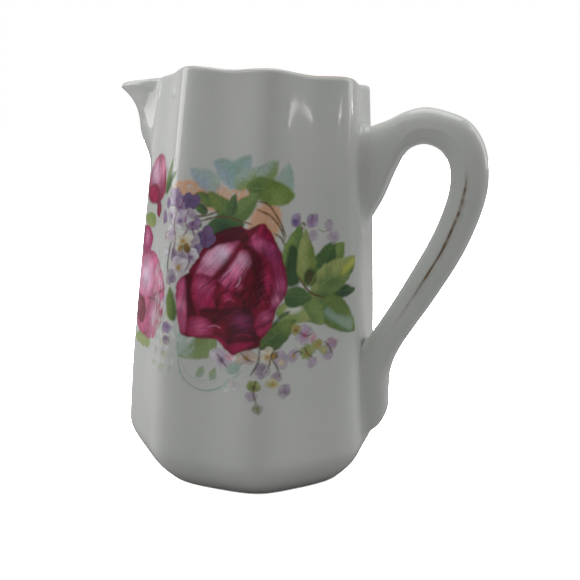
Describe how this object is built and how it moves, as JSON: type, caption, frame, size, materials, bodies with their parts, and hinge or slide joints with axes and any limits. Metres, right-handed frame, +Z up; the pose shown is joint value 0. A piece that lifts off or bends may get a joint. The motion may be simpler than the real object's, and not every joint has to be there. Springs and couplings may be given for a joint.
{
  "type": "cream jug",
  "caption": "Small lobed porcelain cream jug with a pulled spout, an angular strap handle, painted rose sprays and worn gilding.",
  "frame": {"origin": "on the resting plane, under the middle of the jug's box; the vessel's own axis stands at x = -9.5 mm", "axes": "+Z up, +X towards the handle, the spout points along -X"},
  "size_m": [0.1092, 0.0694, 0.1104],
  "materials": {
    "glazed_porcelain": "cool white hard porcelain under a clear gloss glaze",
    "worn_gold": "thin fired gilding, mostly rubbed away",
    "rose_enamel": "glossy overglaze print and enamel in crimson, green and violet"
  },
  "bodies": {
    "root": {"body": "glazed_porcelain", "handle": "glazed_porcelain", "rim_gilding": "worn_gold", "handle_gilding": "worn_gold", "rose_spray_near": "rose_enamel", "rose_spray_far": "rose_enamel"}
  },
  "joints": []
}
